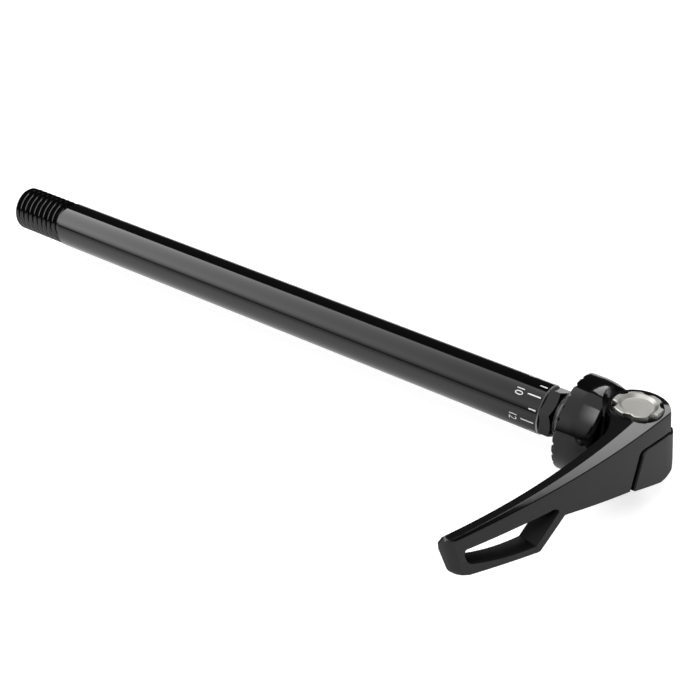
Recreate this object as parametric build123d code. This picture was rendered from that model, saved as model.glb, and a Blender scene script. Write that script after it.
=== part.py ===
from build123d import *
from math import radians, sqrt, tan
import os

# Quick-release thru axle for a rear wheel, in millimetres.
# The axle lies along X with its threaded end at -X. The origin is on the axle line, at the lever-side
# end of the plain shank. The lever is closed: its pivot stands along Z and its arm points to -Y.

# Axle shaft
shaft_d = 12.0
shaft_length = 166.6
shaft_bore_d = 7.0
shaft_edge_chamfer = 0.25
thread_length = 17.0
thread_crest_d = 11.7
thread_lead_chamfer = 0.7
relief_d = 10.0
relief_length = 1.2
nut_socket_d = 9.0
nut_socket_depth = 17.0

# Hex nut in the end of the shaft; its corners are level with the shaft
hex_end_x = 3.5
hex_face_d = 9.4
hex_chamfer_deg = 30.0
hex_corner_deg = 37.3
nut_spigot_length = 10.0
socket_clearance = 0.03

# Draw rod and the rings on it
rod_d = 6.0
rod_clearance = 0.05
rod_flange_d = 8.4
rod_flange_length = 2.5
rod_end_chamfer = 0.5
washer_thickness = 0.8
washer_clearance = 0.1
thrust_washer_d = 8.4

# Return spring
spring_wire_d = 0.8
spring_mean_d = 7.6
spring_turns = 4
spring_clearance = 0.05

# Clamp cup
cup_d = 22.7
cup_front_x = 6.9
cup_length = 8.5
cup_band = 3.2
cup_mid_d = 22.2
cup_end_d = 20.8
cup_edge = 0.4
cup_pocket_d = 9.8
cup_pocket_depth = 4.1
tooth_count = 24
tooth_depth = 0.65
tooth_gap_width = 1.5
tooth_length = 2.2

# Lever pivot and cam
pivot_x = 20.8
cam_r = 5.85
cam_throw = 0.7
cam_gap = 0.2
hub_top = 9.55
hub_bottom = -7.0
hub_edge = 0.8
flange_r = 6.8
flange_shift = 0.3
flange_thickness = 1.5

# Saddle between the cam and the cup
saddle_ease = 1.3
saddle_thickness = 0.9
saddle_width = 8.4
saddle_height = 13.4
saddle_rod_clearance = 0.3
saddle_clearance = 0.02

# Pivot barrel, with a dished head of six lobes in a round seat in the lever's top
barrel_d = 8.5
barrel_bottom = -6.8
barrel_edge = 0.4
barrel_top = 10.05
barrel_head_d = 11.2
barrel_head_short_d = 10.2
barrel_head_thickness = 1.25
barrel_head_edge = 0.15
lobe_count = 6
lobe_turn_deg = 2.0
scallop_r = 1.6
scallop_depth = 1.0
dish_d = 8.6
dish_floor_d = 7.0
dish_depth = 0.55
seat_clearance = 0.08
seat_gap = 0.1

# Lever bushes
bush_thickness = 0.6
bush_length = 3.2
bush_clearance = 0.03
press_clearance = 0.01

# Lever arm: at distance t along -Y from the pivot, the offset in X of each long edge and the height of
# the top are root - lean * t - bend * t * t
arm_reach = 60.0
head_reach = 4.6
head_draft_deg = 7.5
inner_root, inner_lean, inner_bend = -0.9, 0.0, 0.0035
ridge_root, ridge_lean, ridge_bend = 2.1, 0.05, 0.0029
outer_root, outer_lean, outer_bend = 6.15, 0.145, 0.00235
outer_draft_deg = 10.0
top_root, top_lean, top_bend = 9.55, 0.075, 0.00024
bevel_drop_root = 0.6
bevel_drop_fall = 0.003
arm_blank_bottom = -8.0
tip_undercut = 3.3
undercut_z = 1.5
arm_stations = 8
arm_edge_r = 0.3
web_r = 15.0
web_wall_t = 11.5

# Lever side outline, as (distance along -Y, height) from the pivot
head_bottom_t, head_bottom_z = 2.5, -5.45
groove_t, groove_z = 12.0, -3.4
waist_t, waist_z = arm_reach - 28.4, -0.45
flare_t, flare_z = arm_reach - 21.4, -6.1
tip_bottom_t, tip_bottom_z = arm_reach - 2.2, -4.3
tip_top_t = arm_reach - 0.8
head_corner_r = 6.8
waist_r = 1.0
flare_r = 1.2
tip_r = 2.0

# Slot through the lever's flared tip: corners at the outer end of the cut, as (distance along -Y, height)
slot_right_t, slot_right_z = arm_reach - 27.3, 1.2
slot_right_top_t, slot_right_top_z = arm_reach - 25.8, 2.0
slot_left_top_t, slot_left_top_z = arm_reach - 3.7, 1.25
slot_left_bottom_t, slot_left_bottom_z = arm_reach - 5.2, -8.2
slot_right_bottom_t, slot_right_bottom_z = arm_reach - 20.6, -5.85
slot_corner_r = 0.5
slot_left_rise = 8.0
slot_right_rise = 3.3

# Raised pad on the outside of the lever's head, with a groove along its edge
pad_height = 0.45
pad_top_t, pad_top_z = 7.4, 4.35
pad_foot_t = 13.1
pad_corner_r = 2.0
pad_groove_width = 1.1
pad_groove_top_width = 0.3
pad_groove_depth = 0.5

# Slot in the lever's head that lets the rod through at every lever angle
rod_slot_clearance = 0.45

# Worked out from the sizes above
shaft_r = shaft_d / 2
rod_r = rod_d / 2
rod_hole_r = rod_r + rod_clearance
thrust_washer_x = hex_end_x
spring_start_x = thrust_washer_x + washer_thickness
cup_end_x = cup_front_x + cup_length
pocket_floor_x = cup_front_x + cup_pocket_depth
saddle_r = cam_r + saddle_ease
saddle_x = pivot_x - cam_r - cam_throw - cam_gap + saddle_r
trough_r = saddle_r + saddle_thickness
bush_r = barrel_d / 2 + bush_clearance
lever_bore_r = bush_r + bush_thickness + press_clearance
barrel_head_z = barrel_top - barrel_head_thickness
seat_floor_z = barrel_head_z - seat_gap
seat_r = barrel_head_d / 2 + seat_clearance
far = 60.0


def turned(*outline):
    """Solid turned about the axle line from a closed outline of (x, radius) points."""
    return revolve(make_face(Polyline(*outline, close=True)), Axis.X)


def ring(start_x, end_x, outer_r, inner_r):
    return turned((start_x, inner_r), (start_x, outer_r), (end_x, outer_r), (end_x, inner_r))


def upright(radius, bottom, top, x):
    """Upright cylinder between two heights, centred on the axle plane."""
    return Pos(x, 0, (bottom + top) / 2) * Cylinder(radius, top - bottom)


def side_face(*points):
    """Face in the lever's side view, from (distance along -Y, height) points."""
    return Plane.YZ * make_face(Polyline(*[(-t, z) for t, z in points], close=True))


def nearest_vertex(face, t, z):
    return face.vertices().sort_by_distance(Vector(0, -t, z))[0]


def rounded(face, *corners):
    """The face with each named corner (t, z, radius) rounded."""
    for t, z, radius in corners:
        face = fillet(nearest_vertex(face, t, z), radius)
    return face


def through_x(face):
    return extrude(face, far, both=True)


def make_shaft():
    thread_r = thread_crest_d / 2
    relief_r = relief_d / 2
    bore_r = shaft_bore_d / 2
    socket_r = nut_socket_d / 2
    tip_x = -shaft_length
    thread_end_x = tip_x + thread_length
    return turned(
        (tip_x, bore_r),
        (tip_x, thread_r - thread_lead_chamfer),
        (tip_x + thread_lead_chamfer, thread_r),
        (thread_end_x - relief_length, thread_r),
        (thread_end_x - relief_length, relief_r),
        (thread_end_x, relief_r),
        (thread_end_x, shaft_r - shaft_edge_chamfer),
        (thread_end_x + shaft_edge_chamfer, shaft_r),
        (0, shaft_r),
        (shaft_edge_chamfer, shaft_r - shaft_edge_chamfer),
        (shaft_edge_chamfer, socket_r),
        (-nut_socket_depth, socket_r),
        (-nut_socket_depth, bore_r),
    )


def make_hex_nut():
    start_x = shaft_edge_chamfer
    hexagon = Plane.YZ.offset(start_x) * RegularPolygon(shaft_r, 6, rotation=hex_corner_deg)
    face_r = hex_face_d / 2
    blank_r = shaft_d
    chamfer_length = (blank_r - face_r) * tan(radians(hex_chamfer_deg))
    chamfered = turned((start_x, 0), (start_x, blank_r), (hex_end_x - chamfer_length, blank_r),
                       (hex_end_x, face_r), (hex_end_x, 0))
    spigot_r = nut_socket_d / 2 - socket_clearance
    spigot = ring(-nut_spigot_length, start_x, spigot_r, 0)
    bore = ring(-nut_spigot_length - 1, hex_end_x + 1, rod_hole_r, 0)
    return (extrude(hexagon, hex_end_x - start_x) & chamfered) + spigot - bore


def make_flange_washer():
    return ring(-nut_spigot_length - washer_thickness, -nut_spigot_length, rod_flange_d / 2,
                rod_r + washer_clearance)


def make_thrust_washer():
    return ring(thrust_washer_x, thrust_washer_x + washer_thickness, thrust_washer_d / 2,
                rod_r + washer_clearance)


def make_draw_rod():
    flange_x = -nut_spigot_length - washer_thickness - washer_clearance
    end_x = pivot_x + barrel_d / 2 - 2 * rod_end_chamfer
    return turned(
        (flange_x - rod_flange_length, 0),
        (flange_x - rod_flange_length, rod_flange_d / 2),
        (flange_x, rod_flange_d / 2),
        (flange_x, rod_r),
        (end_x - rod_end_chamfer, rod_r),
        (end_x, rod_r - rod_end_chamfer),
        (end_x, 0),
    )


def make_return_spring():
    end_gap = spring_wire_d / 2 + spring_clearance
    height = pocket_floor_x - spring_start_x - 2 * end_gap
    coil = Helix(height / spring_turns, height, spring_mean_d / 2,
                 center=(spring_start_x + end_gap, 0, 0), direction=(1, 0, 0))
    section = Plane(origin=coil @ 0, z_dir=coil % 0) * Circle(spring_wire_d / 2)
    return sweep(section, path=coil, is_frenet=True)


def make_clamp_cup():
    band_end_x = cup_front_x + cup_band
    wall_end_x = cup_end_x - cup_edge
    wall = ThreePointArc((band_end_x, cup_d / 2), ((band_end_x + wall_end_x) / 2, cup_mid_d / 2),
                         (wall_end_x, cup_end_d / 2))
    rest = Polyline(
        wall @ 1,
        (cup_end_x, cup_end_d / 2 - cup_edge),
        (cup_end_x, rod_hole_r),
        (pocket_floor_x, rod_hole_r),
        (pocket_floor_x, cup_pocket_d / 2),
        (cup_front_x, cup_pocket_d / 2),
        (cup_front_x, cup_d / 2 - cup_edge / 2),
        (cup_front_x + cup_edge / 2, cup_d / 2),
        wall @ 0,
    )
    drum = revolve(make_face(wall + rest), Axis.X)
    trough = upright(trough_r, -cup_d, cup_d, saddle_x)
    gap = Polyline((cup_front_x - tooth_depth, tooth_gap_width), (cup_front_x + tooth_depth, 0),
                   (cup_front_x - tooth_depth, -tooth_gap_width), close=True)
    notch = extrude(Pos(0, 0, cup_d / 2 - tooth_length) * make_face(gap), 2 * tooth_length)
    notches = [Rot(i * 360 / tooth_count, 0, 0) * notch for i in range(tooth_count)]
    return drum - trough - notches


def make_cam_saddle():
    shell = upright(trough_r - saddle_clearance, -saddle_height / 2, saddle_height / 2, saddle_x)
    shell -= upright(saddle_r, -saddle_height, saddle_height, saddle_x)
    depth = 2 * trough_r
    window = Pos(saddle_x - depth / 2, 0, 0) * Box(depth, saddle_width, saddle_height)
    rod_hole = ring(0, far, rod_r + saddle_rod_clearance, 0)
    return (shell & window) - rod_hole


def make_pivot_barrel():
    pin = upright(barrel_d / 2, barrel_bottom, barrel_top, pivot_x)
    pin = chamfer(pin.edges().sort_by(Axis.Z)[0], barrel_edge)
    head_r = barrel_head_d / 2
    first_scallop_deg = lobe_turn_deg + 180 / lobe_count
    head_plan = Rot(0, 0, first_scallop_deg) * Ellipse(head_r, barrel_head_short_d / 2)
    for i in range(lobe_count):
        scallop = Pos(head_r - scallop_depth + scallop_r, 0) * Circle(scallop_r)
        head_plan -= Rot(0, 0, first_scallop_deg + i * 360 / lobe_count) * scallop
    head = extrude(Pos(pivot_x, 0, barrel_head_z) * head_plan, barrel_head_thickness)
    head = chamfer(head.faces().sort_by(Axis.Z)[-1].edges(), barrel_head_edge)
    dish = Pos(pivot_x, 0, barrel_top - dish_depth / 2) * Cone(dish_floor_d / 2, dish_d / 2, dish_depth)
    rod_hole = ring(0, pivot_x + barrel_d / 2 - rod_end_chamfer, rod_r + socket_clearance, 0)
    return pin + head - dish - rod_hole


def make_bush(bottom):
    outer = upright(bush_r + bush_thickness, bottom, bottom + bush_length, pivot_x)
    return outer - upright(bush_r, bottom - 1, bottom + bush_length + 1, pivot_x)


def arm_section(t, proud, deepened):
    """Section across the arm at distance t from the pivot: flat top, bevel and drafted outer face."""
    inner = inner_root - inner_lean * t - inner_bend * t * t - deepened
    ridge = ridge_root - ridge_lean * t - ridge_bend * t * t + proud
    outer = outer_root - outer_lean * t - outer_bend * t * t + proud
    top = top_root - top_lean * t - top_bend * t * t
    shoulder = top - bevel_drop_root + bevel_drop_fall * t
    foot = outer + (shoulder - arm_blank_bottom) * tan(radians(outer_draft_deg))
    heel = inner + tip_undercut * (t / arm_reach) ** 2
    outline = Polyline((heel, arm_blank_bottom), (inner, undercut_z), (inner, top), (ridge, top),
                       (outer, shoulder), (foot, arm_blank_bottom), close=True)
    return Plane(origin=(pivot_x, -t, 0), x_dir=(1, 0, 0), z_dir=(0, -1, 0)) * make_face(outline)


def arm_blank(proud=0, deepened=0):
    """Arm before its side outline is cut: outer faces moved out by proud, inner wall moved in."""
    start_t = -flange_r - 1
    step = (arm_reach - start_t) / (arm_stations - 1)
    blank = loft([arm_section(start_t + i * step, proud, deepened) for i in range(arm_stations)])
    long_edges = blank.edges().filter_by(lambda edge: edge.length > arm_reach)
    return fillet(long_edges.sort_by(Axis.Z)[-3:], arm_edge_r)


def head_limit(proud):
    """Everything on the arm's side of the pivot, and a drafted round head on the far side."""
    height = hub_top - arm_blank_bottom
    top_r = flange_r + proud
    bottom_r = top_r + height * tan(radians(head_draft_deg))
    head = Pos(pivot_x + flange_shift, 0, (hub_top + arm_blank_bottom) / 2) * Cone(bottom_r, top_r, height)
    arm_side = Pos(pivot_x, -far, 0) * Box(2 * far, 2 * far, 2 * far)
    return head + arm_side


def make_lever():
    outline = rounded(
        side_face((-head_reach, hub_top), (tip_top_t, hub_top),
                  (tip_top_t, top_root - top_lean * tip_top_t - top_bend * tip_top_t ** 2),
                  (tip_bottom_t, tip_bottom_z), (flare_t, flare_z), (waist_t, waist_z),
                  (groove_t, groove_z), (head_bottom_t, head_bottom_z), (-head_reach, head_bottom_z)),
        (tip_bottom_t, tip_bottom_z, tip_r), (flare_t, flare_z, flare_r), (waist_t, waist_z, waist_r),
        (-head_reach, head_bottom_z, head_corner_r))
    arm = arm_blank() & through_x(outline) & head_limit(0)

    def pad_face(left, top):
        return rounded(
            side_face((-far / 2, pad_top_z + top), (pad_top_t + left, pad_top_z + top),
                      (pad_foot_t + left, hub_bottom), (-far / 2, hub_bottom)),
            (pad_top_t + left, pad_top_z + top, pad_corner_r))
    groove_outline = pad_face(pad_groove_width, pad_groove_top_width)
    arm -= through_x(groove_outline) - arm_blank(-pad_groove_depth, 2 * flange_r)
    pad = arm_blank(pad_height) & through_x(outline) & through_x(pad_face(0, 0)) & head_limit(pad_height)

    hub = upright(cam_r, hub_bottom, hub_top, pivot_x - cam_throw)
    hub = chamfer(hub.edges().sort_by(Axis.Z)[0], hub_edge)
    flange = upright(flange_r, hub_top - flange_thickness, hub_top, pivot_x + flange_shift)
    flange &= arm_blank(0, 2 * flange_r)

    wall_x = inner_root - inner_lean * web_wall_t - inner_bend * web_wall_t ** 2
    web_x = wall_x - web_r
    reach = cam_r + web_r
    web_y = -sqrt(reach ** 2 - (web_x + cam_throw) ** 2)
    centre = Vector(web_x, web_y)
    hub_touch = Vector(-cam_throw + (web_x + cam_throw) * cam_r / reach, web_y * cam_r / reach)
    wall_touch = Vector(wall_x, web_y)
    sagging = centre + ((hub_touch + wall_touch) / 2 - centre).normalized() * web_r
    web_edge = ThreePointArc(hub_touch, sagging, wall_touch)
    web_plan = make_face(web_edge + Polyline(wall_touch, (0, web_y), (0, 0), (-cam_throw, 0), hub_touch))
    web = extrude(Pos(pivot_x, 0, hub_bottom) * web_plan, hub_top - hub_bottom) & through_x(outline)
    web &= arm_blank(0, 2 * flange_r)

    lever = arm + pad + hub + flange + web
    lever -= upright(lever_bore_r, hub_bottom - 1, seat_floor_z, pivot_x)
    lever -= upright(seat_r, seat_floor_z, hub_top + 1, pivot_x)
    slot_half = rod_r + rod_slot_clearance
    slot_reach = cam_r + 2 * slot_half
    rod_slot = Box(slot_reach + slot_half, slot_reach + slot_half, 2 * slot_half)
    lever -= Pos(pivot_x + (slot_half - slot_reach) / 2, (slot_reach - slot_half) / 2, 0) * rod_slot
    return lever - finger_slot()


def finger_slot():
    """Cutter for the slot in the tip: straight sides, with a floor that rises towards the inside."""
    def outline(left_rise, right_rise):
        corners = [(slot_right_t, slot_right_z), (slot_right_top_t, slot_right_top_z),
                   (slot_left_top_t, slot_left_top_z),
                   (slot_left_bottom_t, slot_left_bottom_z + left_rise),
                   (slot_right_bottom_t, slot_right_bottom_z + right_rise)]
        return rounded(side_face(*corners), *[(t, z, slot_corner_r) for t, z in corners])
    outer_x = pivot_x + outer_root
    inner_x = pivot_x - 0.21 * arm_reach
    inner_outline = outline(slot_left_rise, slot_right_rise)
    return loft([Pos(outer_x, 0, 0) * outline(0, 0), Pos(inner_x, 0, 0) * inner_outline])


parts = {
    "axle_shaft": make_shaft(),
    "hex_nut": make_hex_nut(),
    "flange_washer": make_flange_washer(),
    "thrust_washer": make_thrust_washer(),
    "draw_rod": make_draw_rod(),
    "return_spring": make_return_spring(),
    "clamp_cup": make_clamp_cup(),
    "cam_saddle": make_cam_saddle(),
    "pivot_barrel": make_pivot_barrel(),
    "lever_bush_upper": make_bush(seat_floor_z - bush_length),
    "lever_bush_lower": make_bush(barrel_bottom),
    "lever": make_lever(),
}

os.makedirs("parts", exist_ok=True)
for name, solid in parts.items():
    export_step(solid, f"parts/{name}.step")
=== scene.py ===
import math
import bmesh
import bpy
from mathutils import Matrix, Vector


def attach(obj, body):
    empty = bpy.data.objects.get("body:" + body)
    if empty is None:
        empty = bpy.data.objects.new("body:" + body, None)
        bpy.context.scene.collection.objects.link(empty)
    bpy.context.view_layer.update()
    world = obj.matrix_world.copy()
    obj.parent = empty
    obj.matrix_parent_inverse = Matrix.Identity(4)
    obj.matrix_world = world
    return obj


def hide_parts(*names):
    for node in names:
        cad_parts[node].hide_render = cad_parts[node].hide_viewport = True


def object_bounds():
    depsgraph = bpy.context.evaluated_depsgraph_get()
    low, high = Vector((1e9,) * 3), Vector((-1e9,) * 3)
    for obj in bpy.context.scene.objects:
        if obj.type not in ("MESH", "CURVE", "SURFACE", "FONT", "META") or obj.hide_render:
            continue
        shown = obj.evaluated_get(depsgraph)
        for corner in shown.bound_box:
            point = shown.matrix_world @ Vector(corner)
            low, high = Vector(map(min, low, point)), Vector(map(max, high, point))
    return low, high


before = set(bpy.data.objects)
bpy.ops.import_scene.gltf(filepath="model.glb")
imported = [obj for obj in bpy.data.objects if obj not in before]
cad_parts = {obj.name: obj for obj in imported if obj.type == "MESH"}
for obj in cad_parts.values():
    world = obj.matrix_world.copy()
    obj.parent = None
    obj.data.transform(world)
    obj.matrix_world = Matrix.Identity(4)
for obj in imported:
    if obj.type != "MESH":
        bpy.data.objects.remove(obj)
cad_box = [list(corner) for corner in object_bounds()]


# Axle tube: an aluminium tube turned to size, with a rolled thread at the far end and a socket for the
# hex nut at the lever end. It is anodised black and polished, and its lever-end edge is left bright.
MM = 0.001
MERGE_GAP, PLANE_GAP, FINE_CUT = 0.002 * MM, 0.01 * MM, 0.0001 * MM
TURN_STEPS, THREAD_STEPS = 128, 96
SHANK_R, BORE_R, SOCKET_R = 6.0, 3.5, 4.5
TUBE_END_X, SHANK_END_X, SOCKET_FLOOR_X, BRIGHT_FROM_X = 0.25, 0.0, -17.0, 0.02
THREAD_TIP_X, RELIEF_START_X, RELIEF_END_X = -166.6, -150.8, -149.6
RELIEF_R, RELIEF_CHAMFER = 5.0, 0.25
THREAD_PITCH, THREAD_CREST_R, THREAD_ROOT_R, THREAD_TURNS = 1.75, 5.85, 4.93, 12
THREAD_FLANK, THREAD_LEAD = 0.54, 0.45
CREST_ROUND_OUT, CREST_ROUND_IN, CREST_ROUND_DROP = 0.05, 0.03, 0.1


def pick(piece):
    """Selects one piece alone and makes it the active one."""
    bpy.ops.object.select_all(action="DESELECT")
    piece.select_set(True)
    bpy.context.view_layer.objects.active = piece


def edit_all():
    """Opens the active piece in edit mode with all of it selected."""
    bpy.ops.object.mode_set(mode="EDIT")
    bpy.ops.mesh.select_all(action="SELECT")


def cut_away(place, facing, fill=False):
    """Cuts the open mesh by a plane and removes the side that the plane faces."""
    bpy.ops.mesh.select_all(action="SELECT")
    bpy.ops.mesh.bisect(plane_co=place, plane_no=facing, use_fill=fill, clear_outer=True,
                        threshold=FINE_CUT)


def draw_line(name, points):
    """New object with one line of edges through points (x, radius) in millimetres, in the XY plane."""
    bpy.ops.object.select_all(action="DESELECT")
    first_x, first_r = points[0]
    bpy.ops.mesh.primitive_plane_add(size=MM, location=(first_x * MM, first_r * MM, 0))
    line = bpy.context.object
    line.name = line.data.name = name
    bpy.ops.object.transform_apply(location=True, rotation=True, scale=True)
    bpy.ops.object.mode_set(mode="EDIT")
    bpy.ops.mesh.select_mode(type="VERT")
    bpy.ops.mesh.merge(type="CENTER")
    for (x0, r0), (x1, r1) in zip(points, points[1:]):
        bpy.ops.mesh.extrude_vertices_move(
            TRANSFORM_OT_translate={"value": ((x1 - x0) * MM, (r1 - r0) * MM, 0)})
    bpy.ops.object.mode_set(mode="OBJECT")
    return line


def turn_line():
    """Spins the line just drawn a full turn about the axle line."""
    edit_all()
    bpy.ops.mesh.spin(steps=TURN_STEPS, angle=2 * math.pi, center=(0, 0, 0), axis=(1, 0, 0))
    bpy.ops.mesh.select_all(action="SELECT")
    bpy.ops.mesh.remove_doubles(threshold=MERGE_GAP)
    bpy.ops.object.mode_set(mode="OBJECT")


def tidy_mesh(piece, smooth_deg=32):
    """Merges doubled points, turns all faces outwards and smooths faces that meet at small angles."""
    pick(piece)
    edit_all()
    bpy.ops.mesh.remove_doubles(threshold=MERGE_GAP)
    bpy.ops.mesh.normals_make_consistent(inside=False)
    bpy.ops.object.mode_set(mode="OBJECT")
    bpy.ops.object.shade_smooth_by_angle(angle=math.radians(smooth_deg))


def select_open_edges_at(piece, x_mm):
    """Selects the open edges that lie in the cross plane at x."""
    bpy.ops.mesh.select_mode(type="EDGE")
    bpy.ops.mesh.select_all(action="DESELECT")
    bpy.ops.mesh.select_non_manifold(extend=False, use_wire=False, use_boundary=True,
                                     use_multi_face=False, use_non_contiguous=False, use_verts=False)
    bpy.ops.object.mode_set(mode="OBJECT")
    points = piece.data.vertices
    for edge in piece.data.edges:
        if any(abs(points[i].co.x - x_mm * MM) > PLANE_GAP for i in edge.vertices):
            edge.select = False
    for point in points:
        point.select = False
    for polygon in piece.data.polygons:
        polygon.select = False
    for edge in piece.data.edges:
        if edge.select:
            for i in edge.vertices:
                points[i].select = True
    bpy.ops.object.mode_set(mode="EDIT")


half_crest = THREAD_PITCH / 16
right_flank = [
    (half_crest - CREST_ROUND_IN, THREAD_CREST_R),
    (half_crest + CREST_ROUND_OUT, THREAD_CREST_R - CREST_ROUND_DROP),
    (half_crest + THREAD_FLANK, THREAD_ROOT_R),
    (THREAD_PITCH / 2, THREAD_ROOT_R),
]
left_flank = [(-x, radius) for x, radius in reversed(right_flank)]
thread = draw_line("axle_tube", left_flank + right_flank)
thread.location.x = (THREAD_TIP_X - THREAD_PITCH) * MM
bpy.ops.object.transform_apply(location=True, rotation=False, scale=False)
turns = thread.modifiers.new("turns", "SCREW")
turns.axis = "X"
turns.screw_offset = THREAD_PITCH * MM
turns.iterations = THREAD_TURNS
turns.steps = turns.render_steps = THREAD_STEPS
turns.use_merge_vertices = False
bpy.ops.object.modifier_apply(modifier="turns")
for point in thread.data.vertices:
    radius = math.hypot(point.co.y, point.co.z)
    limit = (THREAD_CREST_R - THREAD_LEAD) * MM + max(0.0, point.co.x - THREAD_TIP_X * MM)
    if radius > limit:
        point.co.y *= limit / radius
        point.co.z *= limit / radius
edit_all()
bpy.ops.mesh.remove_doubles(threshold=MERGE_GAP)
cut_away((THREAD_TIP_X * MM, 0, 0), (-1, 0, 0))
cut_away((RELIEF_START_X * MM, 0, 0), (1, 0, 0))
bpy.ops.object.mode_set(mode="OBJECT")

shank = draw_line("shank", [
    (THREAD_TIP_X, BORE_R),
    (SOCKET_FLOOR_X, BORE_R),
    (SOCKET_FLOOR_X, SOCKET_R),
    (TUBE_END_X, SOCKET_R),
    (TUBE_END_X, SHANK_R - TUBE_END_X),
    (SHANK_END_X, SHANK_R),
    (RELIEF_END_X + RELIEF_CHAMFER, SHANK_R),
    (RELIEF_END_X, SHANK_R - RELIEF_CHAMFER),
    (RELIEF_END_X, RELIEF_R),
    (RELIEF_START_X, RELIEF_R),
])
turn_line()
thread.select_set(True)
shank.select_set(True)
bpy.context.view_layer.objects.active = thread
bpy.ops.object.join()
axle_tube = thread
bpy.ops.object.mode_set(mode="EDIT")
for end_x in (THREAD_TIP_X, RELIEF_START_X):
    select_open_edges_at(axle_tube, end_x)
    bpy.ops.mesh.bridge_edge_loops()
bpy.ops.object.mode_set(mode="OBJECT")
tidy_mesh(axle_tube)

GRAIN_HEIGHT = 0.00002
DARK_SHARE, LIGHT_SHARE = 0.7, 1.3
TURNING_SPREAD, TURNING_DEPTH = 0.06, 0.06


def new_material(name):
    """New node material; returns it with its node tree and its shader."""
    finish = bpy.data.materials.new(name)
    finish.use_nodes = True
    tree = finish.node_tree
    return finish, tree, tree.nodes["Principled BSDF"]


def add_node(tree, kind, **values):
    """Adds a node, sets its properties and, for names of sockets, their default values."""
    node = tree.nodes.new(kind)
    for key, value in values.items():
        if key in node.inputs:
            node.inputs[key].default_value = value
        else:
            setattr(node, key, value)
    return node


def noise(tree, scale, detail):
    """Cloudy pattern that is fixed to the piece."""
    place = add_node(tree, "ShaderNodeTexCoord")
    pattern = add_node(tree, "ShaderNodeTexNoise", Scale=scale, Detail=detail)
    tree.links.new(place.outputs["Object"], pattern.inputs["Vector"])
    return pattern.outputs["Fac"]


def ramp(tree, source, at_start, at_end, start=0.0, end=1.0, shape="LINEAR"):
    """Value that goes from one number to another while its source goes from start to end."""
    slope = add_node(tree, "ShaderNodeMapRange", interpolation_type=shape)
    slope.inputs["From Min"].default_value = start
    slope.inputs["From Max"].default_value = end
    slope.inputs["To Min"].default_value = at_start
    slope.inputs["To Max"].default_value = at_end
    tree.links.new(source, slope.inputs["Value"])
    return slope.outputs["Result"]


def vary_shine(tree, shader, pattern, roughness, spread):
    """Lets a pattern vary the roughness by a spread either way."""
    shine = ramp(tree, pattern, roughness - spread, roughness + spread)
    tree.links.new(shine, shader.inputs["Roughness"])


def raise_grain(tree, shader, pattern, depth):
    """Gives the surface the fine relief of a pattern."""
    bump = add_node(tree, "ShaderNodeBump", Strength=depth, Distance=GRAIN_HEIGHT)
    tree.links.new(pattern, bump.inputs["Height"])
    tree.links.new(bump.outputs["Normal"], shader.inputs["Normal"])


def tint_by(tree, shader, pattern, dark, light):
    """Colours the surface from dark to light by a pattern."""
    tint = add_node(tree, "ShaderNodeMix", data_type="RGBA")
    tint.inputs["A"].default_value = (*dark, 1)
    tint.inputs["B"].default_value = (*light, 1)
    tree.links.new(pattern, tint.inputs["Factor"])
    tree.links.new(tint.outputs["Result"], shader.inputs["Base Color"])


def black_anodised(name, colour, roughness, spread, grain_scale, grain_depth):
    """Black anodised aluminium: even black with slight cloudy shine and a fine surface grain."""
    finish, tree, shader = new_material(name)
    vary_shine(tree, shader, noise(tree, 160.0, 3.0), roughness, spread)
    grain = noise(tree, grain_scale, 2.0)
    raise_grain(tree, shader, grain, grain_depth)
    dark, light = ([c * share for c in colour] for share in (DARK_SHARE, LIGHT_SHARE))
    tint_by(tree, shader, grain, dark, light)
    shader.inputs["IOR"].default_value = 1.5
    return finish


def satin_metal(name, colour, roughness):
    """Satin metal with fine turning marks."""
    finish, tree, shader = new_material(name)
    marks = noise(tree, 3000.0, 3.0)
    vary_shine(tree, shader, marks, roughness, TURNING_SPREAD)
    raise_grain(tree, shader, marks, TURNING_DEPTH)
    shader.inputs["Base Color"].default_value = (*colour, 1)
    shader.inputs["Metallic"].default_value = 1.0
    return finish


gloss_black = black_anodised("black_anodised_gloss", (0.002, 0.002, 0.0022), 0.08, 0.02, 2600.0, 0.03)
axle_tube.data.materials.append(gloss_black)
bright_edge = satin_metal("bright_turned_edge", (0.7, 0.7, 0.69), 0.45)
axle_tube.data.materials.append(bright_edge)
for polygon in axle_tube.data.polygons:
    on_rim = polygon.center.yz.length > (SHANK_R - TUBE_END_X) * MM
    if polygon.center.x > BRIGHT_FROM_X * MM and on_rim:
        polygon.material_index = 1
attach(axle_tube, "axle_body")
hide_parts("axle_shaft")


# Dial: twelve ticks and the even numbers, printed in white round the tube's lever end. They show how far
# the head is turned, so that the lever can be set to close where the rider wants it.
DIAL_COUNT, DIAL_START_X, TICK_WIDTH, INK = 12, -0.5, 0.32, 0.02
LONG_TICK, SHORT_TICK, NUMBER_X, NUMBER_HEIGHT = 3.3, 1.8, -6.75, 1.95
TWELVE_DEG, NUMBER_NARROWING, NUMBER_SPACING = 187.3, 0.82, 0.92
DIGIT_SHARE_OF_TYPE = 0.69
dial_marks = []


def mark_done(mark):
    """Applies a mark's place and turn and adds it to the dial."""
    pick(mark)
    bpy.ops.object.transform_apply(location=True, rotation=True, scale=True)
    dial_marks.append(mark)


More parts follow.
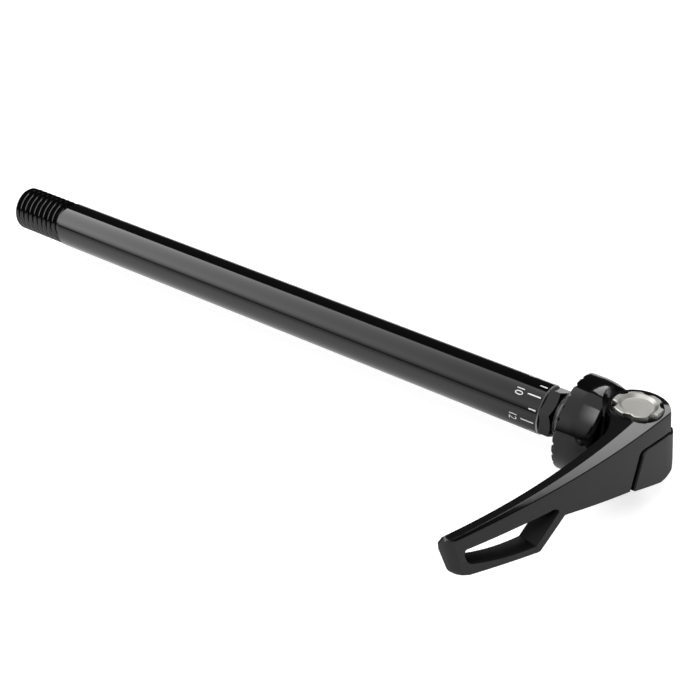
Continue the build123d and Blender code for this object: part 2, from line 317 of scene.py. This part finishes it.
for number in range(1, DIAL_COUNT + 1):
    turn = math.radians(TWELVE_DEG + 360 / DIAL_COUNT * (number - DIAL_COUNT))
    length = SHORT_TICK if number % 2 else LONG_TICK
    middle = Vector((DIAL_START_X - length / 2, SHANK_R * math.cos(turn), SHANK_R * math.sin(turn)))
    bpy.ops.mesh.primitive_cube_add(size=MM, location=middle * MM, rotation=(turn, 0, 0))
    tick = bpy.context.object
    tick.scale = (length, 2 * INK, TICK_WIDTH)
    mark_done(tick)
    if number % 2:
        continue
    bpy.ops.object.text_add(location=(0, 0, 0))
    numeral = bpy.context.object
    numeral.data.body = str(number)
    numeral.data.align_x = "CENTER"
    numeral.data.size = NUMBER_HEIGHT / DIGIT_SHARE_OF_TYPE * MM
    numeral.data.space_character = NUMBER_SPACING
    bpy.ops.object.convert(target="MESH")
    edit_all()
    bpy.ops.mesh.remove_doubles(threshold=MERGE_GAP)
    bpy.ops.mesh.subdivide(number_cuts=2)
    bpy.ops.mesh.extrude_region_move(TRANSFORM_OT_translate={"value": (0, 0, 2 * INK * MM)})
    bpy.ops.object.mode_set(mode="OBJECT")
    for point in numeral.data.vertices:
        reading, up, out = point.co
        angle = turn + NUMBER_NARROWING * reading / (SHANK_R * MM)
        radius = (SHANK_R - INK) * MM + out
        point.co = (NUMBER_X * MM + up, radius * math.cos(angle), radius * math.sin(angle))
    mark_done(numeral)
bpy.ops.object.select_all(action="DESELECT")
for mark in dial_marks:
    mark.select_set(True)
dial = dial_marks[0]
bpy.context.view_layer.objects.active = dial
bpy.ops.object.join()
dial.name = dial.data.name = "dial_marks"
tidy_mesh(dial)
white_ink, tree, shader = new_material("white_ink")
tint_by(tree, shader, noise(tree, 4000.0, 2.0), (0.7, 0.7, 0.68), (0.9, 0.9, 0.88))
shader.inputs["Roughness"].default_value = 0.5
dial.data.materials.clear()
dial.data.materials.append(white_ink)
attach(dial, "axle_body")


# Hex nut: a turned and milled aluminium nut whose spigot is pressed into the tube. Its corners are level
# with the shank, and its lever-side corners are chamfered as on any nut. Anodised black like the tube.
HEX_END_X = 3.5


def keep_flats_flat(piece):
    """Lets the large faces set the shading, so that only the narrow roundings between them blend."""
    flats = piece.modifiers.new("flats", "WEIGHTED_NORMAL")
    flats.mode = "FACE_AREA"
    flats.weight = 100
    flats.keep_sharp = True
    bpy.context.view_layer.objects.active = piece
    bpy.ops.object.modifier_apply(modifier="flats")


def solid_copy(node, name, smooth_deg=28):
    """Merged, smoothly shaded copy of a CAD solid."""
    piece = bpy.data.objects.new(name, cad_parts[node].data.copy())
    piece.data.name = name
    piece.data.materials.clear()
    bpy.context.scene.collection.objects.link(piece)
    pick(piece)
    bpy.ops.mesh.customdata_custom_splitnormals_clear()
    tidy_mesh(piece, smooth_deg)
    keep_flats_flat(piece)
    return piece


hex_nut = solid_copy("hex_nut", "axle_hex")
hex_nut.data.materials.append(gloss_black)
hex_nut.data.materials.append(bright_edge)
for polygon in hex_nut.data.polygons:
    if polygon.center.x > HEX_END_X * MM - PLANE_GAP:
        polygon.material_index = 1
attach(hex_nut, "axle_body")
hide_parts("hex_nut")


# Inner pieces: steel washer, draw rod and return spring, and the plastic washer, saddle and bushes.
# They are bought-in turned, wound and moulded parts, mostly hidden inside the cup and the lever.
bare_steel = satin_metal("bare_steel", (0.12, 0.12, 0.12), 0.3)
black_plastic = black_anodised("black_plastic", (0.012, 0.012, 0.012), 0.5, 0.05, 1800.0, 0.15)
for node, body, slot, finish in (
        ("thrust_washer", "axle_body", "steel", bare_steel),
        ("flange_washer", "axle_body", "inner_plastic", black_plastic),
        ("draw_rod", "head_body", "steel", bare_steel),
        ("return_spring", "cup_body", "steel", bare_steel),
        ("cam_saddle", "cup_body", "inner_plastic", black_plastic),
        ("lever_bush_upper", "lever_body", "inner_plastic", black_plastic),
        ("lever_bush_lower", "lever_body", "inner_plastic", black_plastic)):
    inner = solid_copy(node, "show_" + node)
    inner.data.materials.append(finish)
    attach(inner, body)
    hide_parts(node)


# Clamp cup: a turned aluminium drum with a toothed rim that bites the frame, and a milled trough in which
# the lever's cam sits. Anodised glossy black.
clamp_cup = solid_copy("clamp_cup", "cup")
clamp_cup.data.materials.append(gloss_black)
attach(clamp_cup, "cup_body")
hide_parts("clamp_cup")


# Pivot barrel: a turned steel pin that carries the lever and takes the end of the draw rod. Its dished
# head of six lobes sits in a round seat in the lever's top. Tumbled to a satin finish.
pivot_barrel = solid_copy("pivot_barrel", "barrel")
barrel_steel = satin_metal("barrel_steel", (0.5, 0.495, 0.465), 0.42)
pivot_barrel.data.materials.append(barrel_steel)
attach(pivot_barrel, "head_body")
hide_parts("pivot_barrel")


# Lever: a forged and milled aluminium cam lever with a slotted, flared tip and a raised pad on its head.
# The tip's edges and the slot's end are rounded over and one corner is faceted. It is bead blasted, then
# anodised satin black, and the walls of the slot stay matt.
LEVER_SMOOTH_DEG, ROUND_STEPS, LEAST_ROUND, CORNER_OVERHANG = 40, 12, 0.02, 1.2
SHOULDER_X, SHOULDER_SLOPE, SHOULDER_CURVE = 26.95, 0.145, 0.00235
TOP_EDGE_Z, TOP_EDGE_RISE, TOP_EDGE_ALONG, FACE_LEAN = 3.87, 0.103, 59.07, 0.1763
TIP_START_ALONG, TIP_TOP_Z = 59.68, 7.23
TIP_ARC_ALONG, TIP_ARC_Z, TIP_ARC_R = 56.075, -2.452, 2.0
TIP_ARC_START_DEG, TIP_ARC_SWEEP_DEG = -9.28, 75.37
TIP_END_ALONG, TIP_END_Z = 55.2, -4.545
TIP_EDGE_FACES, TIP_EDGE_REACH = ((-1, 0, 0), (0.181, 0.7, 0.7)), (2.2, 1.5)
TIP_TOP = [(12.0, -59.2, 4.27), (5.0, -59.2, 4.27)]
TIP_TOP_FACES, TIP_TOP_REACH = ((0, 0.9947, 0.1027), (0, 0.1612, -0.987)), (1.0, 1.0)
TIP_FACET, TIP_FACET_FACING = (9.9, -59.2, 4.15), (-0.356, -0.625, 0.694)
SLOT_END_TOP, SLOT_END_FOOT = Vector((12.17, -55.72, 0.75)), Vector((13.02, -54.91, -2.0))
SLOT_END_FACES, SLOT_END_REACH = ((-0.39, -0.92, 0), (-1, 0, 0.22)), (0.9, 0.9)
SLOT_END_STEPS = 10
SLOT_FROM, SLOT_TIP_FROM, SLOT_TO = 32.5, 54.7, 56.2
SLOT_FOOT_Z, SLOT_TOP_Z = -5.6, 2.2
WALL_MOST_X, TIP_WALL_MOST_X, WALL_LEAST_Z = 0.6, 0.2, -0.99
SLOT_GLOSS = 0.15


def outer_face(along, height):
    """Point of the arm's outer face at a distance along the arm and a height."""
    shoulder = SHOULDER_X - SHOULDER_SLOPE * along - SHOULDER_CURVE * along ** 2
    drop = TOP_EDGE_Z + TOP_EDGE_RISE * (TOP_EDGE_ALONG - along) - height
    return Vector((shoulder + FACE_LEAN * drop, -along, height))


def shave_edge(piece, path, faces, reaches, fades):
    """Rounds an edge of a piece along a path of points. Faces point from the edge along its two faces,
    reaches say how far the rounding comes in on each, and fades are the shares of the path at its start
    and end over which the rounding runs out."""
    points = [Vector(point) for point in path]
    legs = [b - a for a, b in zip(points, points[1:])]
    length = sum(leg.length for leg in legs)
    cut = bmesh.new()
    rows = []
    run = 0.0
    for i, place in enumerate(points):
        before, after = legs[max(i - 1, 0)], legs[min(i, len(legs) - 1)]
        tangent = (before.normalized() + after.normalized()).normalized()
        along_faces = [Vector(face) for face in faces]
        one, two = ((face - tangent * face.dot(tangent)).normalized() for face in along_faces)
        out_one = (one * one.dot(two) - two).normalized()
        out_two = (two * one.dot(two) - one).normalized()
        ends = (run / length, 1 - run / length)
        keep = min([1.0] + [end / fade for fade, end in zip(fades, ends) if fade])
        keep = max(keep, LEAST_ROUND)
        reach_one, reach_two = one * reaches[0] * keep, two * reaches[1] * keep
        shares = [k / ROUND_STEPS for k in range(ROUND_STEPS + 1)]
        outline = [reach_one * (1 - share) ** 2 + reach_two * share ** 2 for share in shares]
        outline += [reach_two + out_two, (out_one + out_two) * CORNER_OVERHANG, reach_one + out_one]
        rows.append([cut.verts.new((place + point) * MM) for point in outline])
        run += after.length
    for row, next_row in zip(rows, rows[1:]):
        for i in range(len(row)):
            j = (i + 1) % len(row)
            cut.faces.new((row[i], row[j], next_row[j], next_row[i]))
    cut.faces.new(rows[0])
    cut.faces.new(rows[-1])
    bmesh.ops.recalc_face_normals(cut, faces=cut.faces)
    shape = bpy.data.meshes.new("shaving")
    cut.to_mesh(shape)
    cut.free()
    cutter = bpy.data.objects.new("shaving", shape)
    bpy.context.scene.collection.objects.link(cutter)
    shave = piece.modifiers.new("shave", "BOOLEAN")
    shave.operation = "DIFFERENCE"
    shave.solver = "EXACT"
    shave.object = cutter
    bpy.context.view_layer.objects.active = piece
    bpy.ops.object.modifier_apply(modifier="shave")
    bpy.data.objects.remove(cutter)
    bpy.data.meshes.remove(shape)


lever = solid_copy("lever", "cam_lever", LEVER_SMOOTH_DEG)
pick(lever)
edit_all()
cut_away(Vector(TIP_FACET) * MM, TIP_FACET_FACING, fill=True)
bpy.ops.object.mode_set(mode="OBJECT")
tip_edge = [outer_face(TIP_START_ALONG, TIP_TOP_Z)]
for i in range(ROUND_STEPS + 1):
    angle = math.radians(TIP_ARC_START_DEG - TIP_ARC_SWEEP_DEG * i / ROUND_STEPS)
    tip_edge.append(outer_face(TIP_ARC_ALONG + TIP_ARC_R * math.cos(angle),
                               TIP_ARC_Z + TIP_ARC_R * math.sin(angle)))
tip_edge.append(outer_face(TIP_END_ALONG, TIP_END_Z))
slot_end = [SLOT_END_TOP.lerp(SLOT_END_FOOT, i / SLOT_END_STEPS) for i in range(SLOT_END_STEPS + 1)]
shave_edge(lever, tip_edge, TIP_EDGE_FACES, TIP_EDGE_REACH, (0, 0.25))
shave_edge(lever, TIP_TOP, TIP_TOP_FACES, TIP_TOP_REACH, (0, 0))
shave_edge(lever, slot_end, SLOT_END_FACES, SLOT_END_REACH, (0.3, 0.3))
tidy_mesh(lever, LEVER_SMOOTH_DEG)
keep_flats_flat(lever)
satin_black = black_anodised("black_anodised_satin", (0.005, 0.005, 0.0053), 0.15, 0.03, 5200.0, 0.2)
lever.data.materials.append(satin_black)
matt_black = black_anodised("black_anodised_matt", (0.003, 0.003, 0.0033), 0.45, 0.05, 5200.0, 0.2)
matt_shader = matt_black.node_tree.nodes["Principled BSDF"]
matt_shader.inputs["Specular IOR Level"].default_value = SLOT_GLOSS
lever.data.materials.append(matt_black)
for polygon in lever.data.polygons:
    along, height = -polygon.center.y / MM, polygon.center.z / MM
    in_slot = SLOT_FROM < along < SLOT_TO and SLOT_FOOT_Z < height < SLOT_TOP_Z
    most_x = TIP_WALL_MOST_X if along > SLOT_TIP_FROM else WALL_MOST_X
    if in_slot and abs(polygon.normal.x) <= most_x and polygon.normal.z > WALL_LEAST_Z:
        polygon.material_index = 1
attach(lever, "lever_body")
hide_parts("lever")


# Floor: a plain pale studio floor, painted matt, on which the part lies. The camera sees it as white.
# Metal mirrors it darker, apart from a strip by the shaft that glows in reflections only: a painted
# reflection.
FLOOR_SIZE, FLOOR_GREY, FLOOR_ROUGHNESS, WHITE_LIFT = 8.0, 0.6, 0.9, 0.7
# The floor glows faintly for glossy rays, and more in a strip by the shaft: a painted reflection on the
# shaft.
MIRRORED_SHARE, PAINTED_REFLECTION_SHARE = 0.15, 0.9
PAINTED_REFLECTION_NEAR_Y, PAINTED_REFLECTION_FAR_Y, PAINTED_REFLECTION_FADE_X, PAINTED_REFLECTION_END_X = 0.01, 0.12, -0.03, 0.0


def work_out(tree, operation, *values):
    """Number worked out from others, each the output of a node or a plain number."""
    node = add_node(tree, "ShaderNodeMath", operation=operation)
    for socket, value in zip(node.inputs, values):
        if isinstance(value, bpy.types.NodeSocket):
            tree.links.new(value, socket)
        else:
            socket.default_value = value
    return node.outputs[0]


def split_place(tree, place):
    """Outputs for the X, Y and Z of a place."""
    split = add_node(tree, "ShaderNodeSeparateXYZ")
    tree.links.new(place, split.inputs[0])
    return split.outputs


floor_z = cad_box[0][2]
bpy.ops.object.select_all(action="DESELECT")
bpy.ops.mesh.primitive_plane_add(size=FLOOR_SIZE, location=(0, 0, floor_z))
floor = bpy.context.object
floor.name = floor.data.name = "floor"
floor_paint, tree, shader = new_material("floor_paint")
shader.inputs["Base Color"].default_value = (FLOOR_GREY, FLOOR_GREY, FLOOR_GREY, 1)
shader.inputs["Roughness"].default_value = FLOOR_ROUGHNESS
shader.inputs["Specular IOR Level"].default_value = 0.0
rays = add_node(tree, "ShaderNodeLightPath").outputs
seen = work_out(tree, "MAXIMUM", rays["Is Camera Ray"], rays["Is Transmission Ray"])
place = split_place(tree, add_node(tree, "ShaderNodeTexCoord").outputs["Object"])
aside = work_out(tree, "ABSOLUTE", place["Y"])
# Painted reflection: the floor by the shaft glows for glossy rays only, so the shaft's lower side shows a
# pale band.
glow_near = ramp(tree, aside, PAINTED_REFLECTION_SHARE, 0.0, PAINTED_REFLECTION_NEAR_Y, PAINTED_REFLECTION_FAR_Y, "SMOOTHSTEP")
glow_beside = ramp(tree, place["X"], 1.0, 0.0, PAINTED_REFLECTION_FADE_X, PAINTED_REFLECTION_END_X, "SMOOTHSTEP")
reflected_glow = work_out(tree, "MULTIPLY_ADD", glow_near, glow_beside, MIRRORED_SHARE)
glossy_glow = work_out(tree, "MULTIPLY", rays["Is Glossy Ray"], reflected_glow)
share = work_out(tree, "MAXIMUM", seen, glossy_glow)
lift = work_out(tree, "MULTIPLY", share, WHITE_LIFT)
tree.links.new(lift, shader.inputs["Emission Strength"])
shader.inputs["Emission Color"].default_value = (1, 1, 1, 1)
floor.data.materials.append(floor_paint)


# Lights: a large soft bank over the front on the thread's side, a small soft panel over the lever and one
# behind. Each fades towards one side and at its foot, and a faint grey world fills in the rest.
FOOT_DROP, WORLD_GREY = 3, 0.03


def soft_panel(name, place, aim, width, height, power, start, end, least, soft_foot):
    """Area lamp that fades from one side to the other, down to a least share of its power, and whose
    foot fades in over a share of its height."""
    lamp = bpy.data.lights.new(name, "AREA")
    lamp.shape = "RECTANGLE"
    lamp.size, lamp.size_y, lamp.energy = width, height, power
    panel = bpy.data.objects.new(name, lamp)
    bpy.context.scene.collection.objects.link(panel)
    panel.location = place
    panel.rotation_euler = (Vector(aim) - Vector(place)).to_track_quat("-Z", "Y").to_euler()
    panel.visible_camera = False
    lamp.use_nodes = True
    tree = lamp.node_tree
    across = split_place(tree, add_node(tree, "ShaderNodeNewGeometry").outputs["Parametric"])
    side = work_out(tree, "MAXIMUM", ramp(tree, across["X"], start, end), least)
    foot = ramp(tree, across["Y"], least / FOOT_DROP, 1.0, 0.0, soft_foot, "SMOOTHSTEP")
    strength = work_out(tree, "MULTIPLY", side, foot)
    tree.links.new(strength, tree.nodes["Emission"].inputs["Strength"])


soft_panel("front_bank", place=(-0.5, -0.523, 0.619), aim=(-0.5, -0.111, -0.067), width=1.6, height=2.1,
           power=30.5, start=2.0, end=-0.667, least=0.3, soft_foot=0.4)
soft_panel("top_panel", place=(0.05, -0.53, 0.72), aim=(0, 0, 0), width=0.6, height=0.75,
           power=2.6, start=-0.4, end=2.4, least=0.0, soft_foot=0.7)
soft_panel("back_panel", place=(0.111, 0.59, 0.67), aim=(0, 0, 0), width=0.52, height=0.62,
           power=3.5, start=0.4, end=1.6, least=0.3, soft_foot=0.1)

world = bpy.data.worlds.new("studio")
bpy.context.scene.world = world
world.use_nodes = True
background = world.node_tree.nodes["Background"]
background.inputs["Color"].default_value = (WORLD_GREY, WORLD_GREY, WORLD_GREY, 1)
background.inputs["Strength"].default_value = 1.0


# Camera: stands where the photograph was taken from. It was fitted to lines that can be seen there: the
# shank's edges, the dial and the lever.
SENSOR_WIDTH, FOCAL_LENGTH = 36.0, 73.04
CAMERA_PLACE = (0.1147616, -0.2470975, 0.1756381)
CAMERA_RIGHT = Vector((0.81280259, 0.58165741, 0.03204067))
CAMERA_UP = Vector((-0.32274866, 0.40385307, 0.856))
eye = bpy.data.cameras.new("eye")
eye.sensor_width = SENSOR_WIDTH
eye.lens = FOCAL_LENGTH
eye.clip_start, eye.clip_end = 0.01, 50.0
camera = bpy.data.objects.new("camera", eye)
bpy.context.scene.collection.objects.link(camera)
camera_back = CAMERA_RIGHT.cross(CAMERA_UP)
camera_turn = Matrix((CAMERA_RIGHT, CAMERA_UP, camera_back)).transposed().to_4x4()
camera.matrix_world = Matrix.Translation(CAMERA_PLACE) @ camera_turn
bpy.context.scene.camera = camera
bpy.context.scene.view_settings.view_transform = "Standard"
